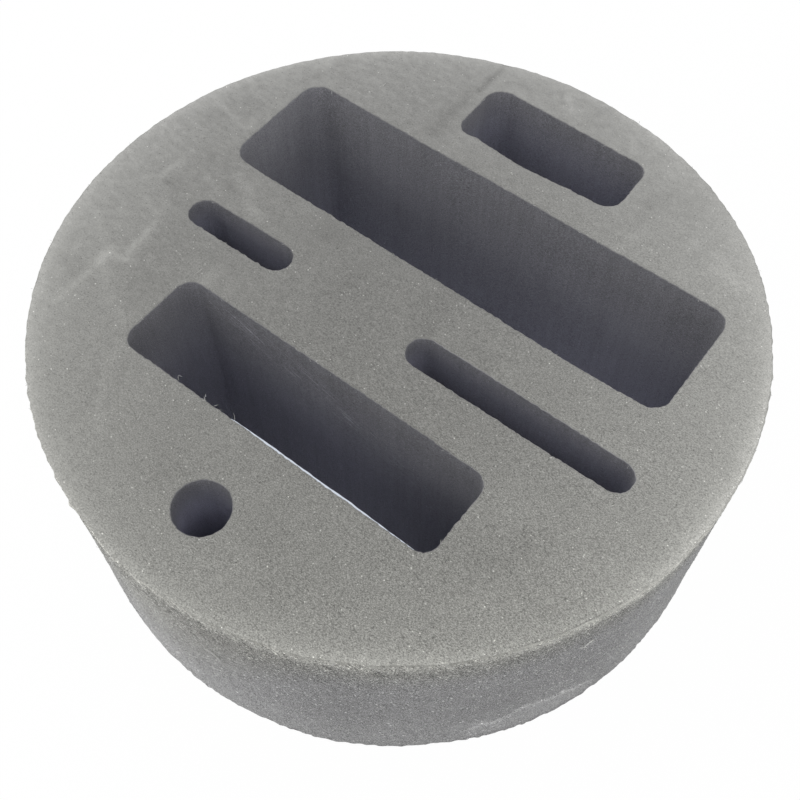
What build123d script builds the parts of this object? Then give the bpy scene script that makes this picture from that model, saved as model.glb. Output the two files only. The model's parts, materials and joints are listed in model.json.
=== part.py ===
from build123d import *
import math
import os

# Foam insert for a round case: a thick round block of closed-cell foam, with six
# cut-outs that run right through it. It is one piece, cut from one sheet.
# The origin is the centre of the underside, +Z is up and +X runs along the pockets.
# The far side of a pocket is its +Y side. All sizes are in millimetres.

# Round block
block_diameter = 150.0
block_height = 55.0

# Wide pocket
wide_length = 110.3
wide_width = 28.6
wide_centre = (0.1, 24.2)
wide_corners = (4.5, 4.2, 4.5, 3.8)
wide_near_bow = 0.5
wide_far_slope = 0.2

# Middle pocket
middle_length = 76.5
middle_width = 19.5
middle_centre = (-0.2, -31.2)
middle_corners = (3.6, 3.4, 3.2, 3.6)
middle_near_bow = 0.2

# Small pocket, which the cutter pulled out of square
small_length = 41.4
small_width = 15.7
small_centre = (0.35, 55.4)
small_corners = (4.4, 2.8, 4.0, 3.0)
small_near_bow = 1.0
small_far_slope = 0.6
small_lean = 0.5
small_near_shoulder = 0.35

# Two round-ended slots on one line, each turned a little from the pockets
slot_width = 7.0
slot_line_y = -6.5
slot_turn = 0.7
long_slot_length = 51.5
long_slot_x = 33.5
short_slot_length = 27.0
short_slot_x = -37.8

# Round hole
hole_diameter = 11.2
hole_centre = (-0.2, -58.2)

# Crease pressed into the top face, from the wide pocket to the rim
crease_x = -22.8
crease_width = 2.0
crease_depth = 0.4

# Arched ledge low on the outer wall, where the block was trimmed a little deeper above it
ledge_crown = 13.0
ledge_foot = 5.0
ledge_step = 0.4
ledge_direction = -31.0
ledge_half_sweep = 12.5

block_radius = block_diameter / 2


def pocket_outline(
    length, width, centre, corners, near_bow=0.0, far_slope=0.0, lean=0.0, near_shoulder=None
):
    """A pocket seen from above, with its sides and corners as the cutter left them.

    near_bow is how far the middle of the near side stands out past its corners,
    far_slope is how far the far side drops from left to right, and lean is how far
    the near corners sit along +X from the far ones. The near side is an arc, or
    with near_shoulder a curve that is still that close to its corners a quarter of
    the way along. The corner radii start at the far left and run through near left
    and near right to far right.
    """
    middle_x, middle_y = centre
    far_y = middle_y + width / 2
    near_y = middle_y - width / 2
    left_x = middle_x - length / 2
    right_x = middle_x + length / 2
    far_left = (left_x - lean / 2, far_y + far_slope / 2)
    near_left = (left_x + lean / 2, near_y)
    near_right = (right_x + lean / 2, near_y)
    far_right = (right_x - lean / 2, far_y - far_slope / 2)
    bow_point = (middle_x + lean / 2, near_y - near_bow)

    left_side = Line(far_left, near_left)
    if near_shoulder is None:
        near_side = ThreePointArc(near_left, bow_point, near_right)
    else:
        left_shoulder = (middle_x + lean / 2 - length / 4, near_y - near_shoulder)
        right_shoulder = (middle_x + lean / 2 + length / 4, near_y - near_shoulder)
        near_side = Spline(near_left, left_shoulder, bow_point, right_shoulder, near_right)
    right_side = Line(near_right, far_right)
    far_side = Line(far_right, far_left)
    outline = make_face([left_side, near_side, right_side, far_side])
    for corner, radius in zip((far_left, near_left, near_right, far_right), corners):
        sharp_corner = outline.vertices().sort_by_distance(corner)[0]
        outline = fillet(sharp_corner, radius)
    return outline


def slot_outline(length, centre_x):
    """A round-ended slot on the slot line."""
    return Pos(centre_x, slot_line_y) * SlotOverall(length, slot_width, rotation=slot_turn)


def cut_outs():
    """The six cut-outs as one set of upright prisms, as tall as the block."""
    outlines = [
        pocket_outline(
            wide_length, wide_width, wide_centre, wide_corners,
            near_bow=wide_near_bow, far_slope=wide_far_slope,
        ),
        pocket_outline(
            middle_length, middle_width, middle_centre, middle_corners,
            near_bow=middle_near_bow,
        ),
        pocket_outline(
            small_length, small_width, small_centre, small_corners,
            near_bow=small_near_bow, far_slope=small_far_slope, lean=small_lean,
            near_shoulder=small_near_shoulder,
        ),
        slot_outline(long_slot_length, long_slot_x),
        slot_outline(short_slot_length, short_slot_x),
        Pos(*hole_centre) * Circle(hole_diameter / 2),
    ]
    return [extrude(outline, block_height) for outline in outlines]


def crease():
    """A round-bottomed groove in the top face, running out through the rim."""
    half_width = crease_width / 2
    groove_radius = (half_width**2 + crease_depth**2) / (2 * crease_depth)
    groove_axis_z = block_height + groove_radius - crease_depth
    groove_start_y = wide_centre[1]
    groove_length = block_radius - groove_start_y
    groove = Cylinder(groove_radius, groove_length, rotation=(90, 0, 0))
    return Pos(crease_x, groove_start_y + groove_length / 2, groove_axis_z) * groove


def trimmed_sliver():
    """What was trimmed off the outer wall above the ledge.

    It is the part of the block that lies outside a wider circle. That circle is
    ledge_step inside the block's edge in the middle of the ledge, and meets the
    block's edge again at both ends of the ledge. From below it is bounded by an
    arch, which falls from the ledge's crown to its foot at both ends.
    """
    half_sweep = math.radians(ledge_half_sweep)
    inner_reach = block_radius - ledge_step
    # The two circles meet where the law of cosines puts them both at block_radius.
    circle_offset = (block_radius**2 - inner_reach**2) / (
        2 * (inner_reach - block_radius * math.cos(half_sweep))
    )
    circle_radius = inner_reach + circle_offset
    trimmed_height = block_height - ledge_foot
    along_z = (Align.CENTER, Align.CENTER, Align.MIN)
    whole = Cylinder(block_radius, trimmed_height, align=along_z)
    kept = Pos(-circle_offset, 0, 0) * Cylinder(circle_radius, trimmed_height, align=along_z)
    sliver = Pos(0, 0, ledge_foot) * (whole - kept)

    arch_rise = ledge_crown - ledge_foot
    arch_half_span = block_radius * math.sin(half_sweep)
    arch_radius = (arch_half_span**2 + arch_rise**2) / (2 * arch_rise)
    arch = Cylinder(arch_radius, block_diameter, rotation=(0, 90, 0))
    arch = Pos(block_radius, 0, ledge_crown - arch_radius) * arch
    return Rot(0, 0, ledge_direction) * (sliver - arch)


def foam_insert():
    """The whole insert as one solid."""
    block = Cylinder(block_radius, block_height, align=(Align.CENTER, Align.CENTER, Align.MIN))
    return block - cut_outs() - crease() - trimmed_sliver()


os.makedirs("parts", exist_ok=True)
insert = foam_insert()
export_step(insert, "parts/foam_insert.step")

print("volume", round(insert.volume / 1000, 1), "cubic centimetres")
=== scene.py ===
import json
import math

import bpy
import numpy as np
from mathutils import Matrix, Vector
from mathutils.geometry import delaunay_2d_cdt

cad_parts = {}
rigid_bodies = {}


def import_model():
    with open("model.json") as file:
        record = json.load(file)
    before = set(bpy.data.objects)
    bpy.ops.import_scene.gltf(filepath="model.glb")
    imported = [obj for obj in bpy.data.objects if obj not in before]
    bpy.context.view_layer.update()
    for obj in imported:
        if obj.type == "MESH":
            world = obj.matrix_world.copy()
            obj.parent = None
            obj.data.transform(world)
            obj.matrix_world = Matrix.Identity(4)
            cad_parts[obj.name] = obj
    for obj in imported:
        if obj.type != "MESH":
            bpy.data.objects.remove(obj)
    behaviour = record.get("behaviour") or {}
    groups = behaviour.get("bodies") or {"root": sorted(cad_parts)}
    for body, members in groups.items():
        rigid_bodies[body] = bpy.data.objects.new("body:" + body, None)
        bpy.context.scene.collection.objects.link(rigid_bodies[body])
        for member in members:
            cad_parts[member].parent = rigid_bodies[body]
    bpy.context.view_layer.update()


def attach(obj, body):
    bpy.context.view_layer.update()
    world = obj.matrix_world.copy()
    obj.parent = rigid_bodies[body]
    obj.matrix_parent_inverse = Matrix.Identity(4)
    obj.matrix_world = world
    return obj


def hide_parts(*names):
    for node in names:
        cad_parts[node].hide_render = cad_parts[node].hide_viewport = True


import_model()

# Foam insert. Shapes are worked out in mm and turned to metres when a mesh is made.
# Seen from above, +X is to the right and +Y is the far side.
metre = 0.001


class Wire:
    # One node socket. Operators add Math nodes, node() adds any other kind.
    def __init__(self, tree, socket=None):
        self.tree = tree
        self.socket = socket

    def node(self, kind, settings=None, sockets=None, output=0):
        made = self.tree.nodes.new(kind)
        for name, value in (settings or {}).items():
            setattr(made, name, value)
        for name, value in (sockets or {}).items():
            if isinstance(value, Wire):
                self.tree.links.new(value.socket, made.inputs[name])
            else:
                made.inputs[name].default_value = value
        return Wire(self.tree, made.outputs[output] if made.outputs else None)

    def maths(self, operation, first, second):
        return self.node("ShaderNodeMath", {"operation": operation}, {0: first, 1: second})

    def __add__(self, other):
        return self.maths("ADD", self, other)

    def __radd__(self, other):
        return self.maths("ADD", other, self)

    def __sub__(self, other):
        return self.maths("SUBTRACT", self, other)

    def __rsub__(self, other):
        return self.maths("SUBTRACT", other, self)

    def __mul__(self, other):
        return self.maths("MULTIPLY", self, other)

    def __rmul__(self, other):
        return self.maths("MULTIPLY", other, self)

    def __truediv__(self, other):
        return self.maths("DIVIDE", self, other)

    def __rtruediv__(self, other):
        return self.maths("DIVIDE", other, self)

    def __pow__(self, other):
        return self.maths("POWER", self, other)

    def atMost(self, other):
        return self.maths("MINIMUM", self, other)

    def atLeast(self, other):
        return self.maths("MAXIMUM", self, other)

    def rise(self, low, high):
        # 0 below low, 1 above high, and smooth in between
        return self.node(
            "ShaderNodeMapRange", {"interpolation_type": "SMOOTHSTEP"},
            {"Value": self, "From Min": low, "From Max": high},
        )

    def fall(self, low, high):
        return 1.0 - self.rise(low, high)

    def times(self, vector):
        return self.node("ShaderNodeVectorMath", {"operation": "MULTIPLY"}, {0: self, 1: vector})

    def vector(self, x, y, z=0.0):
        return self.node("ShaderNodeCombineXYZ", None, {0: x, 1: y, 2: z})

    def mix(self, mask, first, second):
        # the first colour where mask is 0, the second where it is 1
        return self.node(
            "ShaderNodeMix", {"data_type": "RGBA"}, {0: mask, 6: first, 7: second}, output=2,
        )

    def other(self, name):
        # another output of the same node
        return Wire(self.tree, self.socket.node.outputs[name])

    def split(self):
        parts = self.node("ShaderNodeSeparateXYZ", None, {0: self})
        return [parts.other(axis) for axis in "XYZ"]


block = {
    "radius": 75.0,
    "height": 55.0,
    "seed": 11,
}

# The cut-outs. "near" and "far" say how far those edges are shifted at an x, and "heel"
# how far the foot of the far wall is. "tones" are a wall's brightness levels near the
# mouth and deep down, paler deep down as painted light, and "between" the depths where
# they change. "deepFall" paints shade on the right side deep down, or light where it is
# below zero, "end" paints light on the end that faces +X, "leftRise" on the left half,
# and by the depth "cool" the wall has turned bluish.
pockets = {
    "wide": {
        "length": 110.3, "width": 28.6, "centre": (0.1, 24.2),
        "corners": (4.5, 4.2, 4.0, 3.8),
        "nearBow": 0.5, "farSlope": 0.2, "lean": 0.0,
        "near": [(-50, 0.1), (-36, 0), (-10, 0.2), (5, 0.15), (20, -0.15), (36, -0.2), (48, 0.05)],
        "far": [(-50, 0), (-40, -0.2), (-20, -0.18), (-8, 0), (16, 0.12), (32, -0.05), (50, -0.05)],
        "tones": (119, 149), "between": (2, 26), "deepFall": -0.08, "end": 0.24, "cool": 52,
        "leftRise": 0.04,
    },
    "middle": {
        "length": 76.5, "width": 19.5, "centre": (-0.2, -31.2),
        "corners": (3.6, 3.4, 3.2, 3.6),
        "nearBow": 0.2, "farSlope": 0.0, "lean": 0.0,
        "near": [
            (-38, -0.2), (-28, 0.07), (-16, 0.08), (-4, 0.15), (10, 0.05), (26, 0), (38, 0.05),
        ],
        "far": [(-38, 0), (38, 0)],
        "heel": [
            (-38, -0.5), (-30, -0.3), (-23, -0.2), (-17, -0.31), (-8, -0.27), (1, -0.07),
            (10, -0.31), (19, -0.47), (27, -0.5), (38, -0.6),
        ],
        "tones": (115, 166), "between": (2, 24), "deepFall": 0.12, "end": 0.2, "cool": 34,
    },
    "small": {
        "length": 41.4, "width": 15.7, "centre": (0.35, 55.4),
        "corners": (4.4, 2.8, 4.0, 3.0),
        "nearBow": 1.0, "farSlope": 0.6, "lean": 0.5,
        "near": [
            (-18, -0.4), (-14.5, 0.32), (-9, 0.1), (-2, -0.2), (4, 0.18), (10, 0.5), (16, 0.42),
            (20, 0.2),
        ],
        "far": [(-20, 0), (14, 0), (17.5, 0.18), (20, 0)],
        "tones": (118, 161), "between": (0, 17), "deepFall": -0.04, "end": 0.2, "cool": 14,
    },
}

slotWall = {"tones": (110, 158), "between": (0, 9), "deepFall": 0.0, "end": 0.2, "cool": 8}

slots = {
    "width": 7.0,
    "lineY": -6.5,
    "turn": 0.7,
    "long": {"length": 51.5, "x": 33.5, **slotWall},
    "short": {"length": 27.0, "x": -37.8, **slotWall},
}

hole = {
    "radius": 5.6, "centre": (-0.2, -58.2), **slotWall, "tones": (104, 188), "between": (0, 13),
}

cutOuts = [*pockets.values(), slots["long"], slots["short"], hole]


def unit(vector):
    return vector / np.linalg.norm(vector)


def smooth(low, high, value):
    share = np.clip((value - low) / (high - low), 0, 1)
    return share * share * (3 - 2 * share)


def span(value, start, full, last, end):
    # 1 from full to last, and 0 outside start and end
    return smooth(start, full, value) * smooth(end, last, value)


def bell(value, spread):
    return np.exp(-0.5 * (value / spread) ** 2)


def readOff(value, pairs):
    # straight lines between the pairs
    at, level = zip(*pairs)
    return np.interp(value, at, level)


def angleOf(points):
    return np.degrees(np.arctan2(points[:, 1], points[:, 0]))


def rimGap(points):
    return block["radius"] - np.hypot(points[:, 0], points[:, 1])


def arc(centre, radius, start, end, count):
    turn = np.linspace(start, end, count)
    return np.stack([centre[0] + radius * np.cos(turn), centre[1] + radius * np.sin(turn)], 1)


def pocketLine(pocket):
    # anticlockwise from the far left corner
    middleX, middleY = pocket["centre"]
    halfLength, halfWidth = pocket["length"] / 2, pocket["width"] / 2
    halfLean, halfSlope = pocket["lean"] / 2, pocket["farSlope"] / 2
    corners = np.array([
        (middleX - halfLength - halfLean, middleY + halfWidth + halfSlope),
        (middleX - halfLength + halfLean, middleY - halfWidth),
        (middleX + halfLength + halfLean, middleY - halfWidth),
        (middleX + halfLength - halfLean, middleY + halfWidth - halfSlope),
    ])
    bends = []
    for number, corner in enumerate(corners):
        radius = pocket["corners"][number]
        toLast = unit(corners[number - 1] - corner)
        toNext = unit(corners[(number + 1) % 4] - corner)
        half = math.acos(float(toLast @ toNext)) / 2
        centre = corner + unit(toLast + toNext) * radius / math.sin(half)
        begin = corner + toLast * radius / math.tan(half) - centre
        start = math.atan2(begin[1], begin[0])
        bends.append(arc(centre, radius, start, start + math.pi - 2 * half, 24))
    line = evenly(np.concatenate(bends), 0.2)
    # a side's own shifts fade out quickly towards the other side
    share = np.clip((middleY + halfWidth - line[:, 1]) / pocket["width"], 0, 1)
    across = (line[:, 0] - middleX) / halfLength
    bow = pocket["nearBow"] * np.clip(1 - across**2, 0, 1)
    line[:, 1] += share**6 * (readOff(line[:, 0], pocket["near"]) - bow)
    line[:, 1] += (1 - share) ** 6 * readOff(line[:, 0], pocket["far"])
    return line


def slotLine(slot):
    halfRun = (slot["length"] - slots["width"]) / 2
    radius = slots["width"] / 2
    left = arc((-halfRun, 0), radius, math.pi / 2, 3 * math.pi / 2, 30)
    right = arc((halfRun, 0), radius, -math.pi / 2, math.pi / 2, 30)
    turn = math.radians(slots["turn"])
    cos, sin = math.cos(turn), math.sin(turn)
    turned = np.concatenate([left, right]) @ np.array([[cos, sin], [-sin, cos]])
    return turned + (slot["x"], slots["lineY"])


def cutLines():
    lines = [pocketLine(pocket) for pocket in pockets.values()]
    lines += [slotLine(slots["long"]), slotLine(slots["short"])]
    return lines + [arc(hole["centre"], hole["radius"], 0, 2 * math.pi, 181)[:-1]]


def evenly(line, step):
    # the closed line again, with points about one step apart
    closed = np.vstack([line, line[:1]])
    lengths = np.concatenate([[0], np.cumsum(np.linalg.norm(np.diff(closed, axis=0), axis=1))])
    count = int(round(lengths[-1] / step))
    along = np.arange(count) * lengths[-1] / count
    return np.stack([np.interp(along, lengths, closed[:, side]) for side in (0, 1)], 1)


def sideways(line):
    # unit vectors to the right of an anticlockwise line, which point out of it
    run = np.roll(line, -1, axis=0) - np.roll(line, 1, axis=0)
    run /= np.linalg.norm(run, axis=1)[:, None]
    return np.stack([run[:, 1], -run[:, 0]], 1)


foam = {
    "outerStep": 0.5,          # spacing of the points round the outer wall
    "cutStep": 0.5,            # and round a cut-out
    "topStep": 1.0,            # spacing of the points on the top face
    "baseStep": 2.4,           # and on the underside
    "rowStep": 0.45,           # spacing of the first rows under a rim
    "rowGrowth": 1.17,         # how much wider each next one is
    "ledgeRow": 0.75,          # spacing of the rows round the ledge
    "outerRows": (15.0, 2.6),  # height where those start, and the widest spacing above
    "cutRows": (1.2, 3.4),
    "footRows": [1.1, 0.6],    # heights of the last rows above the bottom edge
    "outerRim": 0.34,          # rounding of the outer rim
    "cutRim": 0.24,            # rounding of a cut-out's edge
    "baseRim": 0.25,           # rounding of all edges of the underside
    "rimSag": 0.08,            # how far the top face falls towards the rim
    "sink": 0.12,              # how far all of it lies below the block's height
    "wallHollow": 0.25,        # how far the outer wall is drawn in halfway up
    "teeth": 0.055,            # torn cells along the edge of a cut-out
}

ripples = {
    # height, usual length, and how far they are drawn out along each axis
    "hollow": (0.2, 70, (1, 1, 1)),
    "wallStreak": (0.045, 3.0, (1, 1, 12)),   # upright knife marks
    "wallLumps": (0.03, 1.6, (1, 1, 1.6)),
    "strands": (0.0022, 2.2, (7, 1, 1)),      # for each level of the strands' strength
    "rimRag": (0.04, 1.7, (1, 1, 1)),
    "baseWave": (0.02, 5.0, (1, 1, 1)),
    "baseRag": (0.07, 1.5, (1, 1, 1)),
    "crest": (0.35, 2.4, (1, 1, 1)),
    "cutWobble": (0.05, 30, (1, 1, 3)),
    "cutStreak": (0.02, 3.2, (1, 1, 9)),
    "edgeRag": (0.02, 2.2, (1, 1, 0.8)),
    "edgeGrit": (0.022, 1.2, (1, 1, 1)),
    "footRag": (0.02, 3.4, (1, 1, 1)),
    "swell": (0.10, 48, (1, 1, 1)),           # long waves of the top face
    "grit": (0.025, 2.4, (1, 1, 1)),          # short ones
    "fray": (0.012, 2.0, (6, 1, 1)),          # the ragged foot of the zone of painted light and wear under the rim
    "edgeBreaks": (1.0, 7, (1, 1, 1)),        # gaps in the painted highlight and wear on the rim's edge
}


def ripple(name, points, rng):
    # smooth random field, as a sum of plane waves
    height, length, stretch = ripples[name]
    count = 28
    heading = rng.normal(size=(count, 3))
    heading /= np.linalg.norm(heading, axis=1)[:, None]
    heading *= (2 * math.pi / (length * rng.uniform(0.7, 1.4, count)))[:, None]
    heading /= np.array(stretch)
    phases = rng.uniform(0, 2 * math.pi, count)
    field = np.zeros(len(points))
    for vector, phase in zip(heading, phases):
        field += np.sin(points @ vector + phase)
    return height * (field * math.sqrt(2 / count))


# how far the block stands out past its circle, by angle: it was never quite round
outOfRound = {
    "top": [
        (-180, 0.30), (-170, 0.38), (-158, 0.31), (-148, 0.22), (-140, 0.20), (-132, 0.06),
        (-124, -0.05), (-118, -0.3), (-115, -0.25), (-112, -0.14), (-109, -0.42), (-105, -0.26),
        (-102, -0.66), (-99, -0.34), (-96, 0.0),
        (-20, 0.0), (4, -0.34), (10, -0.06), (16, -0.05), (22, 0.02), (28, -0.08), (36, 0.06),
        (42, 0.32), (48, 0.46), (54, 0.26), (60, 0.26), (66, 0.18), (76, 0.04), (84, -0.3),
        (93, -0.16), (103, -0.1), (109, -0.28), (114, -0.27), (120, 0.06), (126, -0.12),
        (132, 0.0), (140, -0.14), (150, 0.03), (155, -0.06), (166, 0.15), (176, 0.22), (180, 0.30),
    ],
    "base": [
        (-180, 0.0), (-120, -0.2), (-106, -0.45), (-98, -0.34), (-86, -0.14), (-80, -0.04),
        (-76, -0.1), (-70, 0.12), (-64, 0.32), (-60, 0.22), (-52, 0.12), (-47, 0.08), (-44, -0.3),
        (-41, 0.12), (-36, 0.26), (-31, 0.13), (-28, 0.22), (-24, 0.26), (-19, 0.12), (-12, 0.18),
        (-7, -0.08), (0, 0.0), (180, 0.0),
    ],
}

crease = {
    "x": -23.1, "startY": 39.5, "endY": 73.0,
    "break": 58.6,           # the y at which it is interrupted
    "spread": 0.62, "wide": 1.25,  # its half width before the break and past it
    # the depth of the groove in mm, and the painted shade along its bottom in brightness levels
    "depth": 0.4, "shade": -13,
}

ledge = {
    "step": 0.4,
    "middle": -31.0,
    "halfSweep": 12.5,
    # angles from which and to which it is cut, lit and fringed, each fading in and out
    "cut": (-44, -40, -21, -18),
    "lit": (-43, -40, -20, -17),
    "fringed": (-43, -40, -21, -18),
    "crestLevel": 32,        # brightness levels of a painted highlight along the crest
    "crestSpread": 0.42,
    "stepLevel": 13,         # and below it
    "crest": [
        (-44.0, 3.0), (-41.4, 6.8), (-39.0, 9.6), (-37.0, 8.6), (-34.8, 10.3), (-33.8, 12.0),
        (-32.3, 13.3), (-30.0, 12.6), (-28.0, 11.2), (-25.0, 10.7), (-22.8, 9.3), (-21.0, 8.6),
        (-19.0, 5.9), (-17.5, 3.0),
    ],
}

burrs = [
    # angle, height, how far it stands out, half width
    (-105.2, 54.6, 0.40, 0.55),
    (-43.6, 0.4, 0.42, 1.1),
    (-118.0, 54.7, 0.18, 0.5),
    (63.0, 54.7, 0.22, 0.8),
]

rubbingAndPaintedLight = {
    # brightness levels that painted light, wear and dust add, by angle: painted light and wear
    # on the top face along the rim and on the wall under the rim, a painted sheen on all of the
    # wall, and a painted highlight with wear on the rounded rim itself
    "top": [
        (-180, 14), (-150, 22), (-138, 21), (-126, 22), (-102, 24), (-90, 20), (-78, 20), (-66, 23),
        (-54, 26), (-42, 18), (-30, 7), (-18, 23), (-6, 38), (6, 37), (18, 31), (30, 20), (42, 13),
        (54, 10), (66, 4), (78, 18), (90, 11), (102, 17), (114, 19), (126, 22), (150, 21),
        (180, 14),
    ],
    "wall": [
        (-180, 14), (-150, 26), (-114, 40), (-102, 40), (-94, 30), (-84, 32), (-74, 30), (-64, 36),
        (-54, 34), (-44, 31), (-34, 46), (-24, 50), (-14, 58), (-4, 56), (6, 50), (18, 38),
        (30, 26), (42, 16), (60, 12), (180, 14),
    ],
    "side": [
        (-180, 6), (-108, 6), (-104, 12), (-97, 19), (-90, 15), (-84, 5), (-76, 2), (-68, 1),
        (-60, -2), (-52, 1), (-44, 1), (-36, 0), (-28, 4), (-20, 5), (-12, 19), (0, 18), (180, 6),
    ],
    "edge": [
        (-180, 10), (-112, 22), (-108, 46), (-97, 48), (-90, 38), (-80, 16), (-68, 10), (-58, 8),
        (-48, 7), (-38, 12), (-30, 18), (-20, 24), (-8, 27), (2, 14), (20, 10), (40, 12), (60, 14),
        (90, 28), (120, 26), (150, 14), (180, 10),
    ],
    # how strongly the slanting knife strands show under the rim
    "strands": [
        (-180, 6), (-116, 50), (-100, 84), (-90, 82), (-80, 66), (-70, 58), (-60, 58), (-50, 54),
        (-40, 40), (-30, 26), (-20, 20), (0, 12), (180, 6),
    ],
    # how clearly a thin lip is parted from the top face
    "lip": [
        (-180, 0.0), (-90, 0.0), (-84, 0.3), (-78, 0.7), (-64, 0.5), (-48, 0.3), (-38, 0.9),
        (-10, 0.8), (0, 0.2), (20, 0.0), (180, 0.0),
    ],
    # angle, height, spread of the angle, spread of the height, brightness levels
    "patches": [
        (-64, 41, 8, 5, -8), (-60, 26, 9, 8, -4), (-72, 26, 7, 6, 3), (-80, 5, 11, 5, 4),
        (-30, 30, 8, 8, 1), (-94, 47, 7, 5, -9), (-39.6, 10.6, 1.5, 0.9, 16),
        (-25.4, 11.4, 0.3, 0.3, 60), (-24.5, 11.8, 1.2, 0.35, 22),
    ],
}

scuffs = [
    # the points that each runs through, half width, change in brightness levels
    ([(-54.3, -15.2), (-53.4, -20.6), (-52.8, -25.6)], 0.6, 17),
    ([(-60.4, -11.6), (-56.9, -13.5), (-55.2, -11.9), (-56.2, -9.7), (-57.8, -9.2)], 0.6, 9),
    ([(-62.5, -7.0), (-59.0, -7.2)], 0.5, 9), ([(-62.7, -5.3), (-62.3, 0.7)], 0.8, 9),
    ([(-55.8, -30.0), (-56.6, -28.0), (-56.1, -26.8)], 0.8, 26),
    ([(-56.1, -26.8), (-52.2, -26.5)], 0.6, 16), ([(-52.2, -26.5), (-50.0, -24.9)], 0.4, 10),
    ([(-56.0, -29.5), (-55.5, -42.8)], 0.5, 12),
    ([(-55.8, -30.0), (-47.6, -34.4), (-41.2, -37.9)], 0.9, 6),
    ([(-66.8, -20.6), (-59.7, -26.2)], 0.5, 7), ([(-35.0, -20.3), (-35.4, -15.3)], 1.3, 8),
    ([(-49.3, 5.2), (-47.3, 4.5), (-43.9, 3.5)], 0.9, 9), ([(-54.9, 1.5), (-49.3, -0.3)], 0.5, 8),
    ([(-42.7, 0.8), (-37.0, -0.8)], 0.9, 9), ([(-68.6, 19.5), (-62.1, 18.5)], 0.5, 10),
    ([(-62.1, 18.5), (-57.3, 18.2)], 1.1, 7), ([(-5.4, 70.6), (-2.0, 67.5)], 0.7, 12),
    ([(-20.7, 62.9), (-14.4, 64.8)], 0.8, 5), ([(13.2, 69.4), (15.2, 65.2)], 0.5, 9),
    ([(27.1, 43.7), (29.1, 44.6)], 0.4, 11), ([(46.7, 47.5), (53.8, 46.4)], 1.1, 6),
    ([(-37.0, -42.0), (-36.4, -46.0)], 0.7, 7), ([(-34.0, -50.0), (-27.5, -57.5)], 0.9, 6),
    ([(-56.4, 38.3), (-54.6, 45.3), (-52.9, 48.8)], 0.5, -6),
    ([(-8.5, 72.4), (-5.3, 68.3)], 0.5, -8), ([(-15.0, 68.6), (-12.2, 65.3)], 0.6, -5),
]

stains = [
    # x, y, spread, change in brightness levels
    (-59.2, -33.6, 2.2, -6), (-62.2, -29.6, 0.9, 9), (-48.6, 2.1, 1.6, -8), (-56.6, 5.9, 4.0, -6),
    (-56.4, -7.0, 4.0, -3), (-62.5, 23.0, 3.2, -7), (-66.6, 15.0, 2.8, -4), (-56.7, 44.1, 1.4, 7),
    (-61.2, -5.2, 1.2, -6), (-23.5, 6.2, 2.4, -7), (-11.4, -1.9, 3.0, -3), (5.6, 4.6, 2.8, -5),
    (8.5, -2.6, 1.8, -5), (11.6, -1.7, 1.0, 5), (21.7, -0.4, 1.5, -6), (24.9, 65.4, 1.4, 7),
    (26.8, 53.7, 1.5, -7), (27.4, 57.8, 1.5, -5), (34.0, 59.3, 3.0, -5), (27.3, 49.5, 1.2, -5),
    (39.8, 50.5, 0.9, 8), (45.9, 50.2, 1.2, 7), (43.5, 54.4, 1.0, -4), (-58, -4, 3.0, -4),
    (-47, -15, 4.5, -6), (-45, -27, 4.0, -6), (51, -31, 4.0, -6), (44, -36, 3.5, -6),
    (-11, -56, 3.0, -5), (3, 71, 2.0, -5), (45, -23, 3.5, 4), (-7, -43, 2.0, 6), (50, 47, 3.0, 4),
    (-16, 44, 2.5, 5), (-38, -14, 2.5, -5), (12, -55, 3.0, -4), (20, -62, 3.0, -4),
    (72, 8, 2.5, -5), (-33, -53, 3.0, -4), (-31, 8, 2.0, 4),
]


def wallRows(rim, fineFrom, widest):
    # heights down a wall: close together under the rim, and round the ledge
    rows, at, gap = [], block["height"] - rim, foam["rowStep"]
    while at > fineFrom:
        rows.append(at)
        at -= gap
        gap = min(gap * foam["rowGrowth"], widest)
    while at > foam["footRows"][0] + 0.5:
        rows.append(at)
        at -= foam["ledgeRow"]
    return rows + foam["footRows"] + [foam["baseRim"]]


def wallSheet(line, rim, rows, rng, cut=None):
    # the rim, wall and bottom edge of one closed line, as a grid of points
    into = sideways(line) if cut else -sideways(line)
    height, baseRim = block["height"], foam["baseRim"]
    turns = np.radians([0, 35])
    levels = [(rim * (1 - math.sin(turn)), height - rim * (1 - math.cos(turn))) for turn in turns]
    levels += [(0.0, z) for z in wallRows(rim, *rows)]
    levels += [(baseRim * 0.3, baseRim * 0.3), (baseRim, 0.0)]
    sheet = np.zeros((len(levels), len(line), 3))
    for row, (inset, z) in enumerate(levels):
        sheet[row, :, :2] = line + into * inset
        sheet[row, :, 2] = z
    flat = sheet.reshape(-1, 3)
    shift = cutShift(flat, len(line), rng) if cut else outerShift(flat, rng)
    if cut and "heel" in cut:
        isFar = smooth(0.1, 0.4, (flat[:, 1] - cut["centre"][1]) / cut["width"])
        lean = readOff(flat[:, 0], cut["heel"]) * (1 - flat[:, 2] / height) ** 1.5
        flat[:, 1] += isFar * lean
    flat[:, :2] += np.tile(into, (len(levels), 1)) * shift[:, None]
    return sheet


def cutShift(flat, count, rng):
    # how far a cut-out's wall lies outside its line; a short line wobbles less
    height, z = block["height"], flat[:, 2]
    steady = min(1, count / 300)
    shift = steady * ripple("cutWobble", flat, rng) * (0.4 + 0.6 * z / height)
    shift += steady * ripple("cutStreak", flat, rng)
    shift += ripple("edgeRag", flat, rng) * bell(height - z, 1.2)
    shift += ripple("edgeGrit", flat, rng) * bell(height - z, 0.6)
    shift += ripple("footRag", flat, rng) * bell(z, 1.5)
    teeth = foam["teeth"] * np.tile(rng.normal(size=count), len(flat) // count)
    return shift + teeth * bell(height - z, 0.35)


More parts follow.
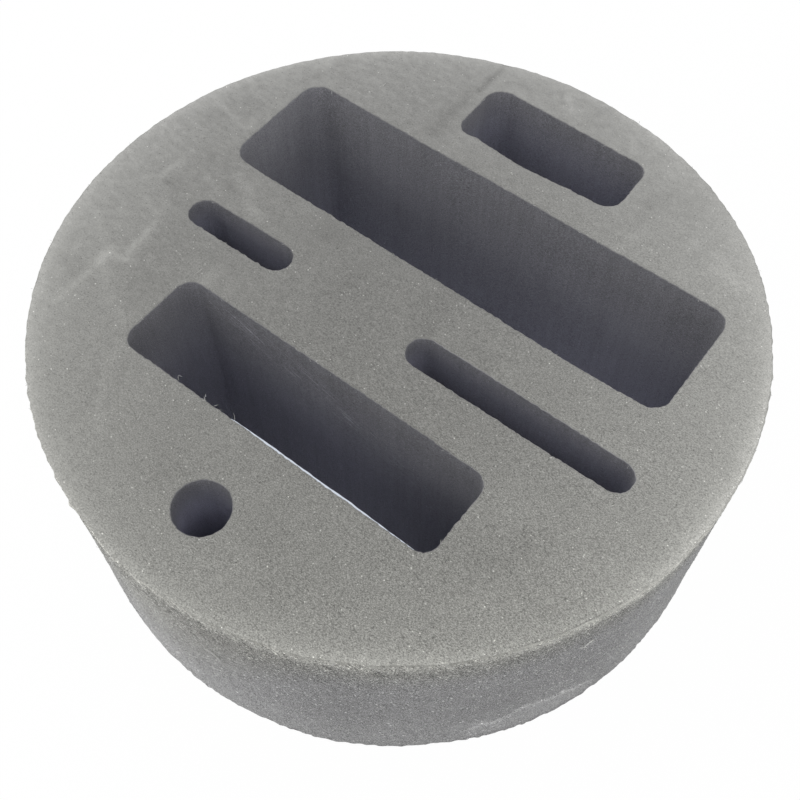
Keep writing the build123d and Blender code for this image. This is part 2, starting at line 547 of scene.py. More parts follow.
def outerShift(flat, rng):
    # how far the outer wall lies inside its circle
    height, z, angle = block["height"], flat[:, 2], angleOf(flat)
    up = z / height
    shift = foam["wallHollow"] * (1 - (2 * up - 1) ** 4) * (0.8 + ripple("hollow", flat, rng))
    for turn in (-3.0, -1.5, 0.0, 1.5, 3.0):
        # the mean of five readings rounds the bends of the two lists
        shift -= 0.2 * readOff(angle + turn, outOfRound["top"]) * up
        shift -= 0.2 * readOff(angle + 0.6 * turn, outOfRound["base"]) * (1 - up)
    calmLeft, calmRight = 0.6 * smooth(-88, -98, angle), 0.6 * smooth(30, 70, angle)
    shift += (1 - calmLeft) * ripple("wallStreak", flat, rng)
    shift += ripple("wallLumps", flat, rng)
    shift += strandLevel(flat) * ripple("strands", strandPlaces(angle, z), rng)
    shift += (1 - calmLeft - calmRight) * ripple("rimRag", flat, rng) * bell(height - z, 0.7)
    ragged = 0.6 + 0.6 * span(angle, -48, -42, -20, -14)
    shift += ragged * ripple("baseWave", flat, rng) * bell(z, 1.5)
    shift += ragged * ripple("baseRag", flat, rng) * bell(z, 0.7)
    crest = readOff(angle, ledge["crest"]) + ripple("crest", flat * (1, 1, 0), rng)
    inSweep = bell((angle - ledge["middle"]) / ledge["halfSweep"], 0.62)
    inSweep *= span(angle, *ledge["cut"])
    shift += ledge["step"] * inSweep * smooth(-0.3, 0.35, z - crest) * (1 - 0.6 * up)
    for at, burrHeight, out, spread in burrs:
        alongWall = np.radians(angle - at) * block["radius"]
        shift -= out * bell(alongWall, spread) * bell(z - burrHeight, spread)
    return shift


def slanted(around, z):
    # where a place on the unrolled wall lies along and across the knife strands
    return around * 0.53 - z * 0.85, around * 0.85 + z * 0.53


def strandPlaces(angle, z):
    along, across = slanted(np.radians(angle) * block["radius"], z)
    return np.stack([along, across, 0 * z], 1)


def strandLevel(points):
    # strength of the knife strands on the outer wall
    depth = block["height"] - points[:, 2]
    return readOff(angleOf(points), rubbingAndPaintedLight["strands"]) * (0.32 + 0.68 * np.exp(-depth / 4.5))


def insideLine(points, line):
    # which points lie within a closed line: a level ray crosses it an odd number of times
    found = np.zeros(len(points), bool)
    low, high = line.min(0), line.max(0)
    near = np.where(np.all((points > low) & (points < high), axis=1))[0]
    if len(near):
        px, py = points[near, 0][:, None], points[near, 1][:, None]
        ax, ay = line[:, 0], line[:, 1]
        bx, by = np.roll(ax, -1), np.roll(ay, -1)
        crosses = ((ay > py) != (by > py)) & (px < (bx - ax) * (py - ay) / (by - ay + 1e-12) + ax)
        found[near] = crosses.sum(1) % 2 == 1
    return found


def gapTo(points, line):
    # distance from each point to the nearest point of a line
    gap = np.full(len(points), 1e9)
    for start in range(0, len(points), 4000):
        part = points[start:start + 4000]
        away = np.linalg.norm(part[:, None, :] - line[None, :, :], axis=2)
        gap[start:start + 4000] = away.min(1)
    return gap


def facePoints(step, edgeLines, extra=()):
    # a net of points in staggered rows, clear of the edges
    reach = block["radius"]
    rowGap = step * math.sqrt(3) / 2
    rows = []
    for number, y in enumerate(np.arange(-reach, reach, rowGap)):
        xs = np.arange(-reach + (number % 2) * step / 2, reach, step)
        rows.append(np.stack([xs, np.full(len(xs), y)], 1))
    net = np.concatenate(rows)
    if len(extra):
        net = net[gapTo(net, extra) > step * 0.55]
        net = np.concatenate([net, extra])
    keep = np.hypot(net[:, 0], net[:, 1]) < reach - 0.5
    for line in edgeLines[1:]:
        keep &= ~insideLine(net, line)
    net = net[keep]
    for line in edgeLines:
        net = net[gapTo(net, line) > step * 0.5]
    return net


def faceTriangles(edgeLines, net):
    # triangles over the face between the edge lines, as rows of point numbers
    points = np.concatenate(list(edgeLines) + [net])
    joins, owner, first = [], [], 0
    for number, line in enumerate(edgeLines):
        count = len(line)
        joins += [(first + i, first + (i + 1) % count) for i in range(count)]
        owner += [number] * count
        first += count
    owner = np.array(owner + [-1] * len(net))
    flat = [Vector((float(x), float(y))) for x, y in points]
    made = delaunay_2d_cdt(flat, joins, [], 1, 1e-6, True)
    source = np.array([old[0] for old in made[3]])
    triangles = source[np.array(made[2])]
    owners = owner[triangles]
    alike = (owners[:, 0] == owners[:, 1]) & (owners[:, 1] == owners[:, 2]) & (owners[:, 0] > 0)
    drop = np.zeros(len(triangles), bool)
    middles = points[triangles].mean(1)
    for number in range(1, len(edgeLines)):
        chosen = np.where(alike & (owners[:, 0] == number))[0]
        drop[chosen[insideLine(middles[chosen], edgeLines[number])]] = True
    return triangles[~drop]


def creaseLine(y):
    # the crease wanders a little from side to side
    return crease["x"] + 0.25 * np.sin(y * 0.21) + 0.12 * np.sin(y * 0.83 + 1.0)


def creasePoints():
    columns = np.array([-2.2, -1.6, -1.1, -0.7, -0.35, 0, 0.35, 0.7, 1.1, 1.6, 2.2])
    lengths = np.arange(crease["startY"], crease["endY"] + 0.5, 0.8)
    xs, ys = np.meshgrid(columns, lengths)
    return np.stack([(creaseLine(ys) + xs).ravel(), ys.ravel()], 1)


def creaseShare(points):
    # 1 along the bottom of the crease, 0 away from it and past its ends
    x, y = points[:, 0], points[:, 1]
    ends = smooth(0, 3.5, y - crease["startY"]) * smooth(0, 4.5, crease["endY"] - y)
    past = smooth(1.0, -1.0, y - crease["break"])
    spread = crease["spread"] + (crease["wide"] - crease["spread"]) * past
    broken = (1 - 0.25 * past) * (1 - 0.5 * bell(y - crease["break"], 0.5))
    return bell(x - creaseLine(y) + 0.3 * past, spread) * ends * broken


def scuffAndCreaseShadeLevel(points):
    level = np.zeros(len(points))
    for chain, spread, lift in scuffs:
        corners = np.array(chain)
        for start, run in zip(corners, np.diff(corners, axis=0)):
            share = np.clip((points - start) @ run / (run @ run), 0, 1)
            away = np.linalg.norm(points - start - share[:, None] * run, axis=1)
            mark = lift * bell(away, spread)
            level = np.where(np.abs(mark) > np.abs(level), mark, level)
    for x, y, spread, change in stains:
        level += change * bell(np.hypot(points[:, 0] - x, points[:, 1] - y), spread)
    # and the painted shade along the crease
    return level + crease["shade"] * creaseShare(points)


def cutLevel(cut, line, sheet):
    # brightness of a cut-out's wall, with painted light and shade: paler deep down, where
    # light comes off the other walls, paler on the end that faces +X and on the left half,
    # and darker or paler on the right side deep down as deepFall says
    x, depth = sheet[..., 0].ravel(), (block["height"] - sheet[..., 2]).ravel()
    begin, end = cut["tones"]
    level = begin + (end - begin) * smooth(*cut["between"], depth)
    level += 0.3 * np.clip(depth - cut["between"][1], 0, 40)
    facing = np.tile(np.clip(-sideways(line)[:, 0], 0, 1), len(sheet))
    level *= 1 + cut["end"] * facing * (1 - smooth(4, 24, depth))
    level *= 1 + cut.get("leftRise", 0) * smooth(-15, -45, x)
    return level * (1 - cut["deepFall"] * smooth(0, 34, x) * smooth(10, 25, depth))


def paintedLightAndWearLevel(points, topIds):
    # painted light, dust and wear that add to the brightness of the top face and the outer wall
    angle, gap, z = angleOf(points), rimGap(points), points[:, 2]
    depth = block["height"] - z
    rng = np.random.default_rng(block["seed"] + 1)
    frayed = depth + ripple("fray", strandPlaces(angle, z), rng) * strandLevel(points)
    # painted light and wear on the wall under the rim
    lift = readOff(angle, rubbingAndPaintedLight["wall"]) * (1 - smooth(1.2, 5.8, frayed))
    for at, height, spread, heightSpread, level in rubbingAndPaintedLight["patches"]:
        lift += level * bell(angle - at, spread) * bell(z - height, heightSpread)
    # a painted highlight along the ledge's crest, a paler step below it, and a painted sheen on the
    # sides
    above = z - readOff(angle, ledge["crest"])
    litLedge = ledge["crestLevel"] * bell(above, ledge["crestSpread"])
    litLedge += ledge["stepLevel"] * smooth(0.5, 4, z) * (1 - smooth(-0.2, 0.5, above))
    lift += span(angle, *ledge["lit"]) * litLedge + readOff(angle, rubbingAndPaintedLight["side"])
    # a painted highlight, partly wear, along the rounded rim, broken by gaps
    broken = (0.35 - 0.25 * bell(angle + 102, 10)) * ripple("edgeBreaks", points, rng)
    onEdge = (depth > 0.03) & (depth < foam["outerRim"] + 0.02) & (gap < 0.9)
    lift += onEdge * np.clip(1 + broken, 0.2, 1.8) * readOff(angle, rubbingAndPaintedLight["edge"])
    # painted light and wear on the top face along the rim
    topLift = readOff(angle, rubbingAndPaintedLight["top"]) * np.exp(-np.clip(gap - 0.5, 0, None) / 2.0)
    lift[topIds] = topLift[topIds]
    return lift


def buildFoam():
    rng = np.random.default_rng(block["seed"])
    height = block["height"]
    circle = arc((0, 0), block["radius"], 0, 2 * math.pi, 2000)[:-1]
    lines = [evenly(circle, foam["outerStep"])]
    lines += [evenly(line, foam["cutStep"]) for line in cutLines()]
    sheets = [wallSheet(lines[0], foam["outerRim"], foam["outerRows"], rng)]
    for line, cut in zip(lines[1:], cutOuts):
        sheets.append(wallSheet(line, foam["cutRim"], foam["cutRows"], rng, cut))

    topLines = [sheet[0, :, :2] for sheet in sheets]
    baseLines = [sheet[-1, :, :2] for sheet in sheets]
    topNet = facePoints(foam["topStep"], topLines, creasePoints())
    baseNet = facePoints(foam["baseStep"], baseLines)

    # one list of points: the sheets, then the top net, then the base net
    parts = [sheet.reshape(-1, 3) for sheet in sheets]
    parts += [np.insert(topNet, 2, height, axis=1), np.insert(baseNet, 2, 0.0, axis=1)]
    points = np.concatenate(parts)
    starts = np.cumsum([0] + [len(part) for part in parts])
    grids, quads = [], []
    for start, sheet in zip(starts, sheets):
        rowCount, count = sheet.shape[:2]
        grid = start + np.arange(rowCount * count).reshape(rowCount, count)
        upper, lower = grid[:-1], grid[1:]
        upperNext, lowerNext = np.roll(upper, -1, axis=1), np.roll(lower, -1, axis=1)
        order = [upper, upperNext, lowerNext, lower]
        if not grids:
            order = [upper, lower, lowerNext, upperNext]
        quads.append(np.stack([part.ravel() for part in order], 1))
        grids.append(grid)
    topStart, baseStart, endStart = starts[len(sheets):]
    topIds = np.concatenate([grid[0] for grid in grids] + [np.arange(topStart, baseStart)])
    baseIds = np.concatenate([grid[-1] for grid in grids] + [np.arange(baseStart, endStart)])
    triangles = np.concatenate([
        topIds[faceTriangles(topLines, topNet)],
        baseIds[faceTriangles(baseLines, baseNet)][:, ::-1],
    ])

    # what each point is: top face, outer wall or wall of a cut-out
    names = ("topFace", "cutWall", "cutTone", "cool", "creaseShadeAndScuff")
    kind = {name: np.zeros(len(points)) for name in names}
    kind["topFace"][topIds] = 1.0
    for grid in grids:
        kind["topFace"][grid[1]] = 0.5
    for grid, sheet, line, cut in zip(grids[1:], sheets[1:], lines[1:], cutOuts):
        kind["cutWall"][grid[1]] = 0.5
        kind["cutWall"][grid[2:]] = 1.0
        kind["cutTone"][grid.ravel()] = cutLevel(cut, line, sheet)
        kind["cool"][grid] = smooth(-2, cut["cool"], height - points[grid, 2])
    isTop = kind["topFace"] > 0
    kind["creaseShadeAndScuff"][isTop] = scuffAndCreaseShadeLevel(points[isTop, :2])
    # painted light and wear on the top face and the outer wall
    kind["lift"] = paintedLightAndWearLevel(points, topIds)
    kind["strand"] = strandLevel(points)
    kind["lip"] = readOff(angleOf(points), rubbingAndPaintedLight["lip"])

    # the top face is lowered and roughened together with the rims that bound it
    low = np.clip((points[:, 2] - height + 4) / 4, 0, 1)
    plan = points * (1, 1, 0)
    lift = ripple("swell", plan, rng) + ripple("grit", plan, rng)
    lift -= foam["rimSag"] * bell(rimGap(points), 2.4)
    lift -= crease["depth"] * creaseShare(points) + foam["sink"]
    points[:, 2] += lift * low
    return points, np.concatenate(quads), triangles, kind


def newObject(name, data):
    made = bpy.data.objects.new(name, data)
    bpy.context.scene.collection.objects.link(made)
    return made


def makeMesh(name, points, quads, triangles, kind):
    mesh = bpy.data.meshes.new(name)
    corners = np.concatenate([quads.ravel(), triangles.ravel()]).astype(np.int32)
    sizes = np.concatenate([np.full(len(quads), 4), np.full(len(triangles), 3)]).astype(np.int32)
    mesh.vertices.add(len(points))
    mesh.vertices.foreach_set("co", (points * metre).astype(np.float32).ravel())
    mesh.loops.add(len(corners))
    mesh.loops.foreach_set("vertex_index", corners)
    mesh.polygons.add(len(sizes))
    mesh.polygons.foreach_set("loop_start", (np.cumsum(sizes) - sizes).astype(np.int32))
    mesh.polygons.foreach_set("use_smooth", np.ones(len(sizes), bool))
    for label, values in kind.items():
        layer = mesh.attributes.new(label, "FLOAT", "POINT")
        layer.data.foreach_set("value", values.astype(np.float32))
    mesh.update(calc_edges=True)
    mesh.validate()
    return newObject(name, mesh)


finish = {
    # brightness levels from 0 to 255
    "topTone": 129,
    "topRimLight": 26,           # painted light added towards the rim
    "topDrift": (4.7, 4.7),  # painted light added towards +X and +Y
    "topCross": 10,          # painted light added towards the far right and the near left
    "topSaddle": 2.7,        # painted light added towards both ends of X, painted shade towards those of Y
    "wallTone": 141,
    "wallShade": 12,         # painted shade taken off under the rim, and painted light added at the foot
    "mottle": (7, 16, 12),   # broad patches on the top face, outer wall and cut-outs
    "blotches": (16, 8),     # smaller ones on the outer wall and the cut-outs
    "knifeMarks": 18,
    "topGrain": 60,
    "wallGrain": 136,
    "cutGrain": 44,
    "tornBits": 70,
    "patches": (20, 40),     # where the cells are open, and what closed cells add
    "specks": (36, 54),      # the least, and what chance adds
    "darkCells": 26,
    "pits": 20,
    "lipLine": 16,
    "lipShine": 6,
    "scratches": 62,
    # colours
    "frontTint": (1.008, 1.004, 0.936),
    "backTint": (1.004, 1.000, 0.968),
    "rimTint": (1.014, 1.002, 0.922),
    "wallTint": (1.0, 0.992, 0.99),
    "cutTint": (0.988, 0.986, 1.065),
    "deepTint": (0.955, 0.962, 1.15),
    "roughness": 0.88,
    "fuzz": 0.06,            # how much the cells catch the light at a low angle
}


def newMaterial(name):
    # an empty material, and places on the piece in mm
    material = bpy.data.materials.new(name)
    material.use_nodes = True
    tree = material.node_tree
    tree.nodes.clear()
    bench = Wire(tree)
    place = bench.node("ShaderNodeTexCoord", output="Object").times((1000, 1000, 1000))
    return material, bench, place


def foamMaterial():
    material, bench, place = newMaterial("greyFoam")
    x, y, z = place.split()

    def layer(name):
        return bench.node("ShaderNodeAttribute", {"attribute_name": name}, output="Fac")

    def noise(scale, detail=2.0, rough=0.5, vector=place):
        return bench.node(
            "ShaderNodeTexNoise", None,
            {"Vector": vector, "Scale": scale, "Detail": detail, "Roughness": rough},
        )

    def cells(scale, vector=place, **settings):
        return bench.node("ShaderNodeTexVoronoi", settings, {"Vector": vector, "Scale": scale})

    topFace, cutWall = layer("topFace"), layer("cutWall")
    isFlat = topFace.atLeast(cutWall)
    notTop, notCut, upright = 1.0 - topFace, 1.0 - cutWall, 1.0 - isFlat
    right, far = x / block["radius"], y / block["radius"]
    reach = right * right + far * far
    radial = reach ** 0.5 * block["radius"]
    down = (block["height"] - z) / block["height"]
    nearSide = far.fall(0.0, 0.5)

    # broad brightness of each face
    mottle, blotches = noise(0.05, 3.0) - 0.5, noise(0.30) - 0.5
    driftX, driftY = finish["topDrift"]
    topMottle, wallMottle, cutMottle = finish["mottle"]
    wallBlotch, cutBlotch = finish["blotches"]
    # painted light and shade over the top face: lighter towards the rim, towards +X and +Y, and in
    # a cross and a saddle
    topTone = finish["topTone"] + finish["topRimLight"] * reach + driftX * right + driftY * far
    topTone += finish["topCross"] * right * far
    topTone += finish["topSaddle"] * (right * right - far * far) + topMottle * mottle
    wallTone = finish["wallTone"] + wallMottle * mottle + wallBlotch * blotches
    # painted shade under the rim and painted light at the foot
    wallTone += finish["wallShade"] * (down.rise(0.5, 1.0) - down.fall(0.02, 0.32))
    knife = noise(1.0, 2.0, 0.6, place.times((0.9, 0.9, 0.03))) - 0.5
    cutTone = layer("cutTone") + cutMottle * mottle + cutBlotch * blotches
    cutTone += finish["knifeMarks"] * knife
    # the painted light, dust and wear of the lift attribute, broken up by a noise
    lightAndWearBreakUp = noise(0.9, 3.0, 0.6, place.times((0.45, 1.2, 1.0))) * (0.9 - 0.55 * topFace)
    lightAndWearBreakUp += 0.55 + 0.275 * topFace
    outerTone = topTone * topFace + wallTone * notTop + layer("lift") * lightAndWearBreakUp
    tone = outerTone * notCut + cutTone * cutWall

    # cells, drawn out along X on the top face and down the strands on the outer wall
    around = bench.maths("ARCTAN2", y, x) * block["radius"]
    along, across = slanted(around, z)
    drawn = bench.vector(
        (x * isFlat + along * upright) * 0.62, y * isFlat + across * upright, z * isFlat,
    )
    nearer = (0.42 - 0.5 * far + 0.35 * right).atLeast(0.0).atMost(1.0)
    fine = noise(3.7, 1.0, 0.6, drawn) * (1.0 - 0.55 * nearer)
    fine += noise(6.4, 1.0, 0.6, drawn) * 0.9 * nearer - 0.5 - 0.175 * nearer
    pore = cells(4.8, drawn)
    walls = cells(3.4, drawn, feature="DISTANCE_TO_EDGE")
    grain = fine * 1.5 - (pore - 0.42) * 0.8 + walls.fall(0.0, 0.16) * 0.22 - 0.06
    # the cut opened the cells most at the front and on the right
    opened = 0.74 + 0.42 * right - 0.33 * far - 0.14 * reach - 0.17 * right * far
    opened = opened.atLeast(0.17)
    wallGrain = finish["wallGrain"] * (0.5 + 0.5 * nearSide) * (1.14 - 0.3 * down.rise(0.1, 0.45))
    outerGrain = finish["topGrain"] * opened * topFace + wallGrain * notTop
    tone += grain * (outerGrain * notCut + finish["cutGrain"] * cutWall)
    # towards both ends of the near side the cells are torn into larger bits
    endward = (right * 0.61 - far * 0.79).fall(0.6, 1.0) * nearSide * upright
    tone += finish["tornBits"] * (noise(1.5, 3.0, 0.65) - 0.5) * endward
    closed = (1.0 - opened).atLeast(0.0) * topFace * notCut
    patchy = (noise(0.66, 4.0, 0.68, drawn) - 0.5) * isFlat * (1.0 - 0.6 * cutWall)
    openPatch, closedPatch = finish["patches"]
    tone += patchy * (openPatch + closedPatch * closed * closed)

    # sparse cells that catch the light, and torn dark ones
    skin = bench.vector(
        (x * topFace + (x + y) * cutWall) * 0.8 + along * 0.62 * upright,
        y * topFace + z * cutWall + across * upright,
    )
    spot = cells(1.05, skin, voronoi_dimensions="2D")
    chosen, bright, size = spot.other("Color").split()
    onWall = upright * (0.08 + 0.4 * down.fall(0.0, 0.28) + 0.05 * endward)
    onLip = 0.2 * topFace * radial.rise(73.4, 74.3) * right.rise(-0.1, 0.2)
    crowd = 0.014 + 0.06 * nearer + 0.05 * cutWall + (onWall + onLip) * nearSide
    spread = 0.12 + 0.08 * size + (0.12 + 0.06 * endward) * upright
    lit = spot.fall(0.04, spread) * chosen.fall(crowd, crowd + 0.01) * (1.0 - 0.5 * cutWall)
    leastLit, chanceLit = finish["specks"]
    tone += lit * (leastLit + chanceLit * bright)
    tone -= finish["darkCells"] * spot.fall(0.05, 0.2) * chosen.rise(0.95 - 0.05 * nearer, 0.96)
    torn = cells(1.6)
    pits = torn.fall(0.1, 0.32) * torn.other("Color").split()[1].rise(0.66, 0.7)
    tone -= finish["pits"] * pits * right.fall(-0.55, -0.15) * topFace * notCut

    # a dark line parts the lip of the rim from the top face
    lip = layer("lip") * noise(0.3).rise(0.3, 0.5) * topFace * notCut
    lipGap = radial - 73.75 - 0.7 * right.rise(0.15, 0.5)
    tone -= finish["lipLine"] * lip * lipGap.rise(-0.14, -0.04) * lipGap.fall(0.04, 0.14)
    tone += finish["lipShine"] * lip * lipGap.rise(0.04, 0.2)

    # pale scuffs and stains, and the painted shade along the crease, broken up by the cells
    tone += layer("creaseShadeAndScuff") * (0.35 + noise(1.1, 3.0, 0.6) * 1.3)

    # knife strands that slant down the outer wall
    strands = noise(1.0, 3.0, 0.6, bench.vector(along * 0.22, across * 2.3)).rise(0.30, 0.70) - 0.5
    onRim = notTop.atLeast(radial.rise(73.8, 74.8) * 0.35)
    tone += strands * layer("strand") * onRim * notCut

    # long shallow scratches down the far wall of the middle pocket
    farWall = cutWall * y.rise(-24.0, -22.8) * y.fall(-20.2, -19.0) * x.rise(-38.0, -33.0)
    downhill, level = x * 0.951 - z * 0.309, x * 0.309 + z * 0.951 - 40.5
    band = level.rise(-7.0, -1.0) * level.fall(0.0, 7.5) * x.fall(0.0, 34.0)
    track = bench.vector(downhill * 0.07, (level + 40.5) * 2.6)
    scratch = noise(1.0, 3.0, 0.6, track).rise(0.52, 0.68) * noise(0.35).rise(0.35, 0.6)
    tone += finish["scratches"] * farWall * band * scratch

    def tints(mask, first, second):
        return bench.mix(mask, (*finish[first], 1), (*finish[second], 1))

    topTint = tints(0.6 - 0.3 * right + 0.42 * far, "frontTint", "backTint")
    rimmed = down.fall(0.03, 0.30 + 0.7 * right.fall(0.0, 0.5))
    outerTint = bench.mix(topFace, tints(rimmed, "wallTint", "rimTint"), topTint)
    tint = bench.mix(cutWall, outerTint, tints(layer("cool"), "cutTint", "deepTint"))
    shade = (tone / 255).atLeast(0.02) ** 2.2
    height = fine * 0.8 - pore * 0.5 + noise(0.8) * 0.4
    shader = bench.node("ShaderNodeBsdfPrincipled", None, {
        "Base Color": tint.times(bench.vector(shade, shade, shade)),
        "Roughness": finish["roughness"], "Specular IOR Level": 0.25,
        "Sheen Weight": finish["fuzz"], "Sheen Roughness": 0.5,
        "Normal": bench.node(
            "ShaderNodeBump", None, {"Strength": 0.7, "Distance": 0.00018, "Height": height},
        ),
    })
    bench.node("ShaderNodeOutputMaterial", None, {"Surface": shader})
    return material


points, quads, triangles, kind = buildFoam()
foamPiece = makeMesh("foamBody", points, quads, triangles, kind)
foamPiece.data.materials.append(foamMaterial())
print("foam body:", 2 * len(quads) + len(triangles), "triangles")

# Torn cells, rubbed nap, lint and whiskers. Each set is scattered over the foam's faces
# by Geometry Nodes, as thick as the point attribute "share" says. The density is the
# number for each square mm, and the angles are in radians.

specks = {
    "density": 0.02, "length": 0.34, "width": 0.28, "swing": 3.1, "seed": 3,
}
wallFlecks = {
    "density": 0.28, "length": 0.42, "width": 0.22, "swing": 0.6, "seed": 5,
}
rimNap = {
    "density": 1.6, "length": 0.75, "width": 0.17, "swing": 0.9, "seed": 7,
}
ledgeFringe = {
    "density": 2.5, "length": 0.5, "width": 0.2, "swing": 0.6, "seed": 9,
}
lint = {
    "density": 0.0022, "length": 1.9, "thickness": 0.05, "leanLow": 1.35, "leanHigh": 1.6,
    "seed": 21,
}
whiskers = {
    "density": 0.2, "length": 0.55, "thickness": 0.06, "leanLow": 0.6, "leanHigh": 1.5, "seed": 23,
}


def paleFoamMaterial():
    # thin walls of torn cells let the light through, so they look paler than the foam
    material, bench, place = newMaterial("paleFoam")
    patch = bench.node("ShaderNodeTexNoise", None, {"Vector": place, "Scale": 0.9, "Detail": 2.0})
    shade = ((150 + 90 * patch) / 255) ** 2.2
    shader = bench.node("ShaderNodeBsdfPrincipled", None, {
        "Base Color": bench.vector(shade, shade, shade * 0.96),
        "Roughness": 0.75, "Specular IOR Level": 0.3,
    })
    bench.node("ShaderNodeOutputMaterial", None, {"Surface": shader})
    return material


def newTree(name, sizes):
    # a tree with inputs named like the entries of a set's dictionary, and its scattered spots
    tree = bpy.data.node_groups.new(name, "GeometryNodeTree")
    inputs = {"Geometry": "Geometry", "density": "Float", **{size: "Float" for size in sizes},
              "seed": "Int", "paint": "Material"}
    for label, kind in inputs.items():
        tree.interface.new_socket(name=label, in_out="INPUT", socket_type="NodeSocket" + kind)
    tree.interface.new_socket(name="Geometry", in_out="OUTPUT", socket_type="NodeSocketGeometry")
    bench = Wire(tree)
    given = bench.node("NodeGroupInput")
    share = bench.node("GeometryNodeInputNamedAttribute", {"data_type": "FLOAT"}, {"Name": "share"})
    spots = bench.node(
        "GeometryNodeDistributePointsOnFaces", {"distribute_method": "RANDOM"},
        {"Mesh": given, "Density": share * given.other("density"), "Seed": given.other("seed")},
    )
    return tree, bench, given, spots


def randomly(bench, given, low, high, salt):
    return bench.node(
        "FunctionNodeRandomValue", {"data_type": "FLOAT"},
        {2: low, 3: high, "Seed": given.other("seed") + salt}, output=1,
    )


def faceAlong(bench, axis, vector, sockets=None, **settings):
    return bench.node(
        "FunctionNodeAlignRotationToVector", {"axis": axis, **settings},
        {"Vector": vector, **(sockets or {})},
    )


def grow(bench, given, spots, shape, turned, twists, scale):
    # one shape at each spot, twisted about its own axes
    for axis, angle in twists:
        twist = bench.node("FunctionNodeAxisAngleToRotation", None, {"Axis": axis, "Angle": angle})
        turned = bench.node(
            "FunctionNodeRotateRotation", {"rotation_space": "LOCAL"},
            {"Rotation": turned, "Rotate By": twist},
        )
    placed = bench.node("GeometryNodeInstanceOnPoints", None, {
        "Points": spots, "Instance": shape, "Rotation": turned, "Scale": scale,
    })
    real = bench.node("GeometryNodeRealizeInstances", None, {"Geometry": placed})
    painted = bench.node(
        "GeometryNodeSetMaterial", None, {"Geometry": real, "Material": given.other("paint")},
    )
    bench.node("NodeGroupOutput", None, {"Geometry": painted})


def fleckTree():
    # flat chips that lie on the surface, long side level, swung at random
    tree, bench, given, spots = newTree("flecks", ("length", "width", "swing"))
    normal = spots.other("Normal")
    level = bench.node(
        "ShaderNodeVectorMath", {"operation": "CROSS_PRODUCT"}, {0: (0, 0, 1), 1: normal},
    )
    turned = faceAlong(bench, "X", level)
    turned = faceAlong(bench, "Z", normal, {"Rotation": turned}, pivot_axis="X")
    swing = randomly(bench, given, given.other("swing") * -1.0, given.other("swing"), 1)
    tilt = randomly(bench, given, -0.5, 0.5, 2)
    long = given.other("length") * randomly(bench, given, 0.25, 0.75, 3)
    wide = given.other("width") * randomly(bench, given, 0.3, 0.65, 4)
    chip = bench.node("GeometryNodeMeshUVSphere", None, {"Segments": 4, "Rings": 2, "Radius": 1.0})
    twists = [((0, 0, 1), swing), ((0, 1, 0), tilt)]
    grow(bench, given, spots, chip, turned, twists, bench.vector(long, wide, wide * 0.8))
    return tree


def hairTree():
    # bent hairs that stand or lie on the surface
    tree, bench, given, spots = newTree("hairs", ("length", "thickness", "leanLow", "leanHigh"))
    turned = faceAlong(bench, "Z", spots.other("Normal"))
    swing = randomly(bench, given, 0.0, 2 * math.pi, 1)
    lean = randomly(bench, given, given.other("leanLow"), given.other("leanHigh"), 2)
    roll = randomly(bench, given, 0.0, 2 * math.pi, 5)
    size = given.other("length") * randomly(bench, given, 0.45, 1.3, 4)
    spine = bench.node("GeometryNodeCurveQuadraticBezier", None, {
        "Resolution": 6, "Start": (0, 0, 0), "Middle": (0.22, 0.0, 0.55), "End": (-0.06, 0.1, 1.0),
    })
    ring = bench.node("GeometryNodeCurvePrimitiveCircle", {"mode": "RADIUS"}, {
        "Resolution": 4, "Radius": given.other("thickness") / given.other("length") * 0.5,
    })
    hair = bench.node("GeometryNodeCurveToMesh", None, {
        "Curve": spine, "Profile Curve": ring, "Fill Caps": True,
    })
    twists = [((0, 0, 1), swing), ((0, 1, 0), lean), ((0, 0, 1), roll)]
    grow(bench, given, spots, hair, turned, twists, size)
    return tree


def scatter(name, tree, share, sizes, paint):
    guide = makeMesh(name, points, quads, triangles, {"share": share})
    modifier = guide.modifiers.new("scatter", "NODES")
    modifier.node_group = tree
    units = {"density": 1 / metre**2, "length": metre, "width": metre, "thickness": metre}
    values = {label: value * units.get(label, 1) for label, value in sizes.items()}
    values["paint"] = paint
    for item in tree.interface.items_tree:
        if item.name in values:
            modifier[item.identifier] = values[item.name]
    bpy.context.view_layer.update()
    evaluated = guide.evaluated_get(bpy.context.evaluated_depsgraph_get())
    mesh = bpy.data.meshes.new_from_object(evaluated)
    guide.modifiers.clear()
    plain = guide.data
    guide.data = mesh
    bpy.data.meshes.remove(plain)
    mesh.name = name
    print(name + ":", sum(len(face.vertices) - 2 for face in mesh.polygons), "triangles")
    return guide


def shares():
    # how thickly each set grows at each point of the foam
    angle, z = angleOf(points), points[:, 2]
    depth = block["height"] - z
    isOuter = (rimGap(points) < 1.2) & (kind["topFace"] < 0.7)
    isTop = kind["topFace"] > 0.9
    cutTop = (kind["cutWall"] > 0) & (depth < 0.6)
    aboveFoot = np.clip(z - 0.6, 0, 1)
    loose = span(angle, -66, -58, -34, -24)
    ends = 1.5 * span(angle, -122, -112, -90, -74) + 1.2 * span(angle, -38, -24, 2, 12)
    napped = span(angle, -112, -104, -34, -20) * np.exp(-depth / (0.5 + 2.2 * loose))
    onCrest = bell(z - readOff(angle, ledge["crest"]), 0.22) * span(angle, *ledge["fringed"])
    return {
        "specks": isTop * 1.0 + isOuter * 0.8 * aboveFoot,
        "wallFlecks": isOuter * aboveFoot * (0.35 + loose * np.exp(-depth / 16) + ends),
        "rimNap": isOuter * napped * (1.0 - 0.5 * loose),
        "ledgeFringe": isOuter * onCrest,
        "lint": (isTop | isOuter) * aboveFoot * (np.abs(angle + 25) > 6),
        "whiskers": cutTop * 1.0 + isOuter * (depth < 0.8) * 0.6,
    }


